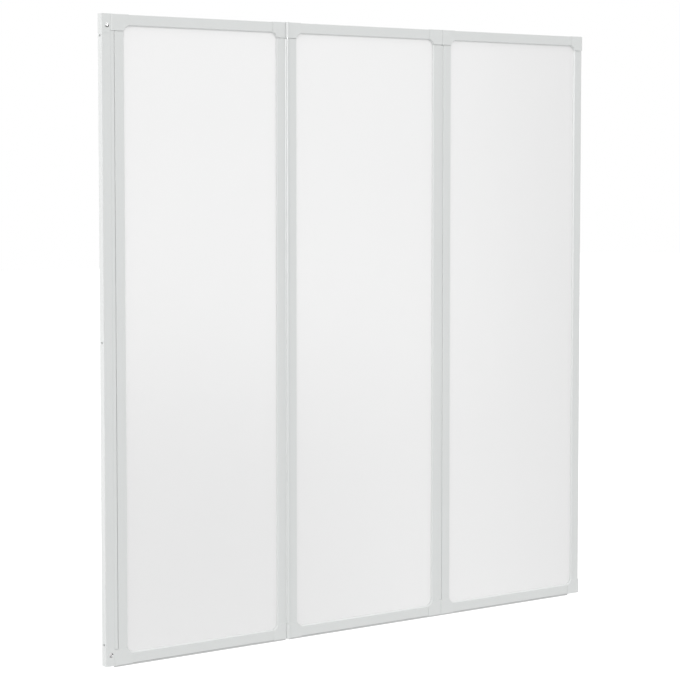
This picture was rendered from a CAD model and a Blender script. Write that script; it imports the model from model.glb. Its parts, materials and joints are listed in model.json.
# %% [markdown]
# # A folding bath screen
# Three framed panels hang in a row from a slim profile on the wall. Panel 1 swings on the wall
# hinge, panel 2 folds over the front of panel 1, and panel 3 over the back of panel 2.
# The shapes are exact solids made elsewhere. This script gives them their finishes, their light
# and a camera. Every length is in metres, +X runs out from the wall and the front faces -Y.

# %% Load the frame
import json
import math
import bpy
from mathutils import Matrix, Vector


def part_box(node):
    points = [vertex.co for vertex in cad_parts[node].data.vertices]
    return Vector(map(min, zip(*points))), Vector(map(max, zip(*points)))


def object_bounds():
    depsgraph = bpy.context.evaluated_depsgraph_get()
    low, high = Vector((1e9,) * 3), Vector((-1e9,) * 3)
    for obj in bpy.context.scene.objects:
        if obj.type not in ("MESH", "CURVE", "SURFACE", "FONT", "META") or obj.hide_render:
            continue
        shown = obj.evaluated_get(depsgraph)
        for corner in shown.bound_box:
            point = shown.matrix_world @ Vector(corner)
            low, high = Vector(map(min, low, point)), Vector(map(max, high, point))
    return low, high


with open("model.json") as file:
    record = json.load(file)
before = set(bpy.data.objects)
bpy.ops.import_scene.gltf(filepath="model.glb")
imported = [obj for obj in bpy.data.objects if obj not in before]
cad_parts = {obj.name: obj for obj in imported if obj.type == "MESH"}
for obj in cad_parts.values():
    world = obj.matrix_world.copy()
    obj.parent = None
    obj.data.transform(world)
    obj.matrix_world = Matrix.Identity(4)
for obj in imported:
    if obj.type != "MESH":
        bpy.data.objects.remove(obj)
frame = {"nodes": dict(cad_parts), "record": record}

cad_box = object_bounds()
size = cad_box[1] - cad_box[0]
print("the screen measures", [round(s, 4) for s in size], "m in", len(frame["nodes"]), "solids")

# %% [markdown]
# ## Shader maths as plain expressions
# A node tree can be built by hand, one socket at a time, or with a small class that wraps an
# output socket. The class wins here, because `0.5 + 0.1 * grain` says what it does. Arithmetic on
# numbers alone stays in Python, and only what varies over a surface becomes nodes. Patterns are
# sized by how often they repeat in a metre, and reliefs by their depth in metres.

# %% One wrapped socket
class Wire:
    """An output socket of a node tree that takes part in sums and products."""

    def __init__(self, tree, socket):
        self.tree, self.socket = tree, socket

    def maths(self, operation, a, b):
        return self.tree.node("ShaderNodeMath", {"operation": operation}, {0: a, 1: b})

    def __add__(self, other): return self.maths("ADD", self, other)
    def __radd__(self, other): return self.maths("ADD", other, self)
    def __sub__(self, other): return self.maths("SUBTRACT", self, other)
    def __rsub__(self, other): return self.maths("SUBTRACT", other, self)
    def __mul__(self, other): return self.maths("MULTIPLY", self, other)
    def __rmul__(self, other): return self.maths("MULTIPLY", other, self)
    def __lt__(self, other): return self.maths("LESS_THAN", self, other)
    def __abs__(self): return self.maths("ABSOLUTE", self, 0.0)
    def higher(self, other): return self.maths("MAXIMUM", self, other)


# %% One node tree
class Tree:
    """The emptied node tree of a material or of the world."""

    def __init__(self, owner):
        owner.use_nodes = True
        self.tree = owner.node_tree
        self.tree.nodes.clear()

    def node(self, kind, settings=None, sockets=None, output=0):
        """Adds a node, sets its settings first, then its sockets to values or links."""
        made = self.tree.nodes.new(kind)
        for name, value in (settings or {}).items():
            setattr(made, name, value)
        for name, value in (sockets or {}).items():
            if isinstance(value, Wire):
                self.tree.links.new(value.socket, made.inputs[name])
            else:
                made.inputs[name].default_value = value
        return Wire(self, made.outputs[output])

    def place(self):
        """Where a point of the surface is, in the screen's own metres."""
        return self.node("ShaderNodeTexCoord", output="Object")

    def parts_of(self, vector):
        """The X, Y and Z of a vector."""
        split = self.node("ShaderNodeSeparateXYZ", {}, {0: vector})
        return [Wire(self, socket) for socket in split.socket.node.outputs]

    def noise(self, vector, per_metre, detail=2.0):
        """A number round 0.5 that wanders over a distance of one metre divided by per_metre."""
        return self.node("ShaderNodeTexNoise", {},
                         {"Vector": vector, "Scale": per_metre, "Detail": detail})

    def stretched(self, vector, scale):
        """A place with each axis multiplied, so that a pattern repeats so often along it."""
        return self.node("ShaderNodeMapping", {}, {"Vector": vector, "Scale": scale})

    def blend(self, share, a, b):
        """Colour a where share is 0 and colour b where it is 1."""
        return self.node("ShaderNodeMix", {"data_type": "RGBA"},
                         {"Factor": share, 6: a, 7: b}, output=2)

    def relief(self, height, depth, below=None):
        """A normal bent by a height from 0 to 1, over another relief if one is given."""
        sockets = {"Height": height, "Distance": depth, "Strength": 1.0}
        if below:
            sockets["Normal"] = below
        return self.node("ShaderNodeBump", {}, sockets)

    def ends_in(self, kind, surface):
        """Adds the output node and feeds it with a surface or a background."""
        ending = self.tree.nodes.new(kind)
        self.tree.links.new(surface.socket, ending.inputs["Surface"])


# %% One finish
finishes = {}


def grey(level, tint=(1, 1, 1)):
    return (level * tint[0], level * tint[1], level * tint[2], 1)


def finish(name, describe):
    """Makes the material called name. describe(tree) gives its Principled sockets."""
    material = bpy.data.materials.new(name)
    tree = Tree(material)
    surface = tree.node("ShaderNodeBsdfPrincipled", {}, describe(tree), output="BSDF")
    tree.ends_in("ShaderNodeOutputMaterial", surface)
    finishes[name] = material
    print("finish", name, "has", len(tree.tree.nodes), "nodes")


# %% [markdown]
# ## Powder coat on the extruded bars
# The stiles, rails and wall profiles are aluminium with a cool off-white powder coat, baked to a
# semi-matt skin. Close up it has orange peel, a relief of about a millimetre across and a few
# microns deep. A flat colour would look like paper, so the relief is a fine noise on the normal,
# and a slower noise lets the gloss and the colour drift by about a percent.

# %% Powder coat
COOL_WHITE = (0.978, 1.0, 0.992)
COAT_DARKEST = grey(0.704, COOL_WHITE)
COAT_LIGHTEST = grey(0.729, COOL_WHITE)
COAT_DRIFT = 7
GLOSS_DRIFT = 60
PEEL = 900
PEEL_DEPTH = 0.00004


def powder_coat(tree):
    place = tree.place()
    drift = tree.noise(place, COAT_DRIFT, 3)
    peel = tree.noise(place, PEEL, 1)
    return {
        "Base Color": tree.blend(drift, COAT_DARKEST, COAT_LIGHTEST),
        "Roughness": 0.28 + 0.08 * tree.noise(place, GLOSS_DRIFT),
        "Normal": tree.relief(peel, PEEL_DEPTH),
    }


finish("powder_coat", powder_coat)


# %% [markdown]
# ## Moulded plastic on the corners and caps
# These are injection mouldings in the same white. A spark-eroded mould leaves a finer and duller
# grain than powder coat, and where its halves meet, at mid-thickness, it leaves a hairline.
# The hairline follows the Y coordinate, so it needs no extra mesh.

# %% Moulded plastic
PLASTIC_DARKEST = grey(0.709, COOL_WHITE)
PLASTIC_LIGHTEST = grey(0.729, COOL_WHITE)
PLASTIC_DRIFT = 25
DULLING = 300
GRAIN = 2200
GRAIN_DEPTH = 0.00003
PARTING_LINE_HALF = 0.00012
PARTING_LINE_RISE = 0.00008


def moulded_plastic(tree):
    place = tree.place()
    depth = tree.parts_of(place)[1]
    line = abs(depth) < PARTING_LINE_HALF
    grained = tree.relief(tree.noise(place, GRAIN), GRAIN_DEPTH)
    drift = tree.noise(place, PLASTIC_DRIFT)
    return {
        "Base Color": tree.blend(drift, PLASTIC_DARKEST, PLASTIC_LIGHTEST),
        "Roughness": 0.32 + 0.08 * tree.noise(place, DULLING),
        "Normal": tree.relief(line, PARTING_LINE_RISE, grained),
    }


finish("moulded_plastic", moulded_plastic)

# %% [markdown]
# ## The panes
# Each pane is frosted plastic, white right through and with a soft gloss. Nothing behind it
# shows, and it mirrors the room only as a slow drift of light. Fine frost in the normal
# spreads that reflection. The photographed panes mirror the room more strongly than a plain
# plastic would, so the index of refraction is 2 and not 1.5.

# %% Frosted pane
PANE_DARKEST = grey(0.891)
PANE_LIGHTEST = grey(0.903)
PANE_DRIFT = 4
SHEEN_DRIFT = 45
FROST = 1500
FROST_DEPTH = 0.00001
PANE_IOR = 2.0


def frosted_pane(tree):
    place = tree.place()
    return {
        "Base Color": tree.blend(tree.noise(place, PANE_DRIFT), PANE_DARKEST, PANE_LIGHTEST),
        "Roughness": 0.19 + 0.05 * tree.noise(place, SHEEN_DRIFT),
        "IOR": PANE_IOR,
        "Normal": tree.relief(tree.noise(place, FROST), FROST_DEPTH),
    }


finish("frosted_pane", frosted_pane)

# %% [markdown]
# ## Rubber
# The gasket round each pane and the seal along the bottom are extruded too, from a soft light grey
# rubber. The die leaves faint lines along the length, made here by a noise that is squeezed
# across the run and drawn out along it.

# %% Rubber gasket and seal
ALL_ROUND = (400, 2500, 400)
ALONG_X = (6, 2500, 2500)
DIE_LINE_DEPTH = 0.00006


def rubber(level, lines):
    """Describes a rubber whose die lines repeat so often in a metre along X, Y and Z."""
    def describe(tree):
        streaks = tree.noise(tree.stretched(tree.place(), lines), 1)
        return {
            "Base Color": tree.blend(streaks, grey(level * 0.94), grey(level * 1.06, COOL_WHITE)),
            "Roughness": 0.42 + 0.14 * streaks,
            "Normal": tree.relief(streaks, DIE_LINE_DEPTH),
        }
    return describe


finish("gasket_rubber", rubber(0.80, ALL_ROUND))
finish("seal_rubber", rubber(0.60, ALONG_X))

# %% [markdown]
# ## Steel screws
# Each cap is held by a small domed screw of plated steel. Turning leaves rings round its axis,
# so the relief is a sine of the distance from that axis, with RINGS radians in a metre. The two
# screws mirror each other in Z, and the absolute value of Z serves both.

# %% Steel
screw_low, screw_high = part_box("wall_cap_screw_top")
SCREW_AXIS = (screw_low + screw_high) / 2
STEEL_GREY = grey(0.72)
RINGS = 9000
RING_DEPTH = 0.00001


def steel(tree):
    x, _, z = tree.parts_of(tree.place())
    across = x - SCREW_AXIS.x
    up = abs(z) - SCREW_AXIS.z
    radius = tree.node("ShaderNodeMath", {"operation": "SQRT"}, {0: across * across + up * up})
    rings = tree.node("ShaderNodeMath", {"operation": "SINE"}, {0: radius * RINGS})
    return {
        "Base Color": STEEL_GREY,
        "Metallic": 1.0,
        "Roughness": 0.18 + 0.03 * rings,
        "Normal": tree.relief(rings, RING_DEPTH),
    }


finish("steel", steel)
print("the top screw's axis is at", [round(c, 4) for c in SCREW_AXIS])

# %% [markdown]
# ## Dress the solids
# Every solid takes the finish of its material slot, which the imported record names. Reading the
# slots from the record keeps the list of nodes in one place.

# %% Give each node its finish
subparts = frame["record"]["subparts"]
for part in subparts:
    solid = frame["nodes"][part["node"]]
    solid.data.materials.clear()
    solid.data.materials.append(finishes[part["material_slot"]])
print("dressed", len(subparts), "solids in", len(finishes), "finishes")

# %% [markdown]
# ## Camera
# The photograph was taken from the left of the screen and a little above its middle, with a long
# lens. Its upright edges stay upright, as with a camera held level and a lens shifted down.
# Such a shift also moves the screen up in views from other sides, and past the edge when it is
# folded, so a tilt of 3.6 degrees takes part of it here. The edges lean by two pixels for it.

# %% Place the camera
CAMERA_AT = Vector((-1.9004, -3.3576, 0.319))
LOOKS_TOWARDS = math.radians(35.98)
LOOKS_DOWN = math.radians(3.6)
LENS_MM = 111.49
LENS_SHIFT = -0.058

camera_data = bpy.data.cameras.new("camera")
camera_data.lens = LENS_MM
camera_data.shift_y = LENS_SHIFT
camera = bpy.data.objects.new("camera", camera_data)
bpy.context.scene.collection.objects.link(camera)
forward = Vector((math.sin(LOOKS_TOWARDS) * math.cos(LOOKS_DOWN),
                  math.cos(LOOKS_TOWARDS) * math.cos(LOOKS_DOWN), -math.sin(LOOKS_DOWN)))
camera.location = CAMERA_AT
camera.rotation_euler = forward.to_track_quat("-Z", "Y").to_euler()
bpy.context.scene.camera = camera
print("the camera is", round(CAMERA_AT.length, 2), "m from the wall profile")

# %% [markdown]
# ## Room
# A screen like this hangs over a bath, so the floor is well below it. The room is plain white to
# the camera and in reflections, while the light that falls on the screen comes more from above
# and from the left, which gives the flanks of the bars their brighter tone. A floor that gave all
# its light back would wash out the undersides, so it returns little more than half.

# %% White floor
FLOOR_BELOW = 0.9
FLOOR_LEVEL = cad_box[0].z - FLOOR_BELOW
FLOOR_SIDE = 60
FLOOR_LIGHT_BACK = 0.56

bpy.ops.object.select_all(action="DESELECT")
bpy.ops.mesh.primitive_plane_add(size=FLOOR_SIDE, location=(0, 0, FLOOR_LEVEL))
floor = bpy.context.object
floor.name = "floor"


def seen_directly(tree):
    """1 for what the camera sees, itself or in a reflection, and 0 for light on its way."""
    camera_ray, glossy_ray, clear_ray = (
        tree.node("ShaderNodeLightPath", output=f"Is {kind} Ray")
        for kind in ("Camera", "Glossy", "Transmission"))
    return camera_ray.higher(glossy_ray).higher(clear_ray)


def white_floor(tree):
    colour = tree.blend(seen_directly(tree), grey(FLOOR_LIGHT_BACK), grey(1.0))
    return {"Base Color": colour, "Roughness": 0.9}


finish("white_floor", white_floor)
floor.data.materials.append(finishes["white_floor"])

# %% Sky that lights from above and from the left
SKY_LEVEL = 1.11
SKY_TILT = Vector((-0.10, -0.02, 0.22))

world = bpy.data.worlds.new("room")
bpy.context.scene.world = world
sky = Tree(world)
direction = sky.node("ShaderNodeTexCoord", output="Generated")
slope = sky.node("ShaderNodeVectorMath", {"operation": "DOT_PRODUCT"},
                 {0: direction, 1: SKY_TILT}, output="Value")
light = SKY_LEVEL + slope
seen = seen_directly(sky)
strength = seen + (1 - seen) * light
backdrop = sky.node("ShaderNodeBackground", {}, {"Color": grey(1.0), "Strength": strength})
sky.ends_in("ShaderNodeOutputWorld", backdrop)
bpy.context.scene.view_settings.view_transform = "Standard"
print("the sky gives", round(SKY_LEVEL + SKY_TILT.z * 2 / 3, 3), "on a face that looks up")

# %% [markdown]
# ## Cards that only reflections see
# A photographer shapes what glossy things mirror with cards round the set. A card here is a plane
# that glows, or stays black, for glossy rays alone. It is hidden from every other kind of ray, so
# it puts no light on the object and never shows itself. Most stand along a line that leaves the
# screen at an azimuth, which is 0 straight to the front and 90 out from the wall.

# %% One card
def card(name, middle, turn, width, height, radiance):
    """A plane that faces +Z before it is turned, and glows with radiance."""
    bpy.ops.object.select_all(action="DESELECT")
    bpy.ops.mesh.primitive_plane_add(size=1, location=middle, rotation=turn)
    made = bpy.context.object
    made.name = name
    made.scale = (width, height, 1)
    material = bpy.data.materials.new(name)
    tree = Tree(material)
    glow = tree.node("ShaderNodeEmission", {}, {"Color": grey(1.0), "Strength": radiance})
    tree.ends_in("ShaderNodeOutputMaterial", glow)
    made.data.materials.append(material)
    made.visible_camera = False
    made.visible_diffuse = False
    made.visible_shadow = False
    made.visible_transmission = False
    print("card", name, "is", width, "by", round(height, 2), "m")


# %% Cards placed by azimuth
FLAT = (0, 0, 0)
UPRIGHT = math.radians(90)
LEFT, RIGHT = -1, 1


def level_line(angle):
    """The level direction that leaves the screen at an angle from straight ahead."""
    return Vector((math.sin(angle), -math.cos(angle), 0))


def floor_strip(name, start_x, azimuth, side, near, far, width, above, radiance):
    """A card on the floor, on one side of a line that leaves the screen at start_x."""
    angle = math.radians(azimuth)
    start = Vector((start_x, 0, FLOOR_LEVEL + above))
    aside = level_line(angle + UPRIGHT) * side * width / 2
    middle = start + level_line(angle) * (near + far) / 2 + aside
    card(name, middle, (0, 0, angle), width, far - near, radiance)


def standing_card(name, start_x, azimuth, distance, low, high, width, radiance):
    """An upright card that faces the screen from a distance along a line that leaves it."""
    angle = math.radians(azimuth)
    middle = Vector((start_x, 0, (low + high) / 2)) + level_line(angle) * distance
    card(name, middle, (UPRIGHT, 0, angle), width, high - low, radiance)


# %% [markdown]
# ## What the bars and the screws mirror
# A tall bright card to the left draws the white line down the barrel of hinge 1. One at the back
# left gives the flank of the wall profile its sheen, and one overhead catches the upper edges. A
# dark mat on the floor shades the lower rims of the screws, and a small card in front of each
# screw puts the bright spot on its dome.

# %% Cards for the bars
CARD_DISTANCE = 5.0
OVER_FLOOR = 0.01

standing_card("left_card", start_x=0.4, azimuth=-45, distance=CARD_DISTANCE,
              low=-0.1, high=2.6, width=2.1, radiance=17.0)
standing_card("back_left_card", start_x=0.0, azimuth=-144, distance=CARD_DISTANCE,
              low=-1.4, high=2.8, width=3.0, radiance=2.3)
card("high_card", (2.7, -1.0, 2.7), FLAT, width=3.8, height=2.0, radiance=2.0)
card("dark_mat", (0.55, -1.0, FLOOR_LEVEL + OVER_FLOOR), FLAT, width=1.5, height=1.4, radiance=0.35)

# %% Sparks for the screws
SPARK_AWAY = 0.4
SPARK_SIDE = 0.08
SPARK_GLOW = 1.2


def spark(name, node, azimuth, elevation):
    """A small card near a screw that faces it from an azimuth and an elevation."""
    low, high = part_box(node)
    turn, rise = math.radians(azimuth), math.radians(elevation)
    towards = level_line(turn) * math.cos(rise) + Vector((0, 0, math.sin(rise)))
    middle = (low + high) / 2 + towards * SPARK_AWAY
    card(name, middle, (UPRIGHT + rise, 0, turn), SPARK_SIDE, SPARK_SIDE, SPARK_GLOW)


spark("spark_top", "wall_cap_screw_top", azimuth=26, elevation=12)
spark("spark_bottom", "wall_cap_screw_bottom", azimuth=30, elevation=-20)

# %% [markdown]
# ## What the panes mirror
# From this camera the panes mirror the floor to the right of the screen and the room above it. A
# black sheet on that floor darkens the lower half of the first pane, and a grey one beside it the
# lower halves of the others. The two meet on the line that the middle of panel 2 mirrors. A
# dark screen further right, with a dark strip of floor at its foot, takes the shine off the far
# end of panel 3.

# %% Cards for the panes
SPLIT_X = 0.6
SPLIT_AZIMUTH = 36.2
SHEETS_FROM = 2.6
SHEETS_TO = 14.0
FLAG_TURN = math.radians(58.2)

floor_strip("floor_sheet", SPLIT_X, SPLIT_AZIMUTH, LEFT, SHEETS_FROM, SHEETS_TO,
            width=8.0, above=OVER_FLOOR, radiance=0.0)
floor_strip("side_sheet", SPLIT_X, SPLIT_AZIMUTH, RIGHT, SHEETS_FROM, SHEETS_TO,
            width=6.0, above=OVER_FLOOR, radiance=0.70)
floor_strip("flag_foot", start_x=1.12, azimuth=40.5, side=RIGHT, near=SHEETS_FROM, far=4.8,
            width=1.6, above=2 * OVER_FLOOR, radiance=0.0)
card("right_flag", (5.03, -2.59, 0.02), (UPRIGHT, 0, FLAG_TURN), width=2.9, height=3.0, radiance=0.0)
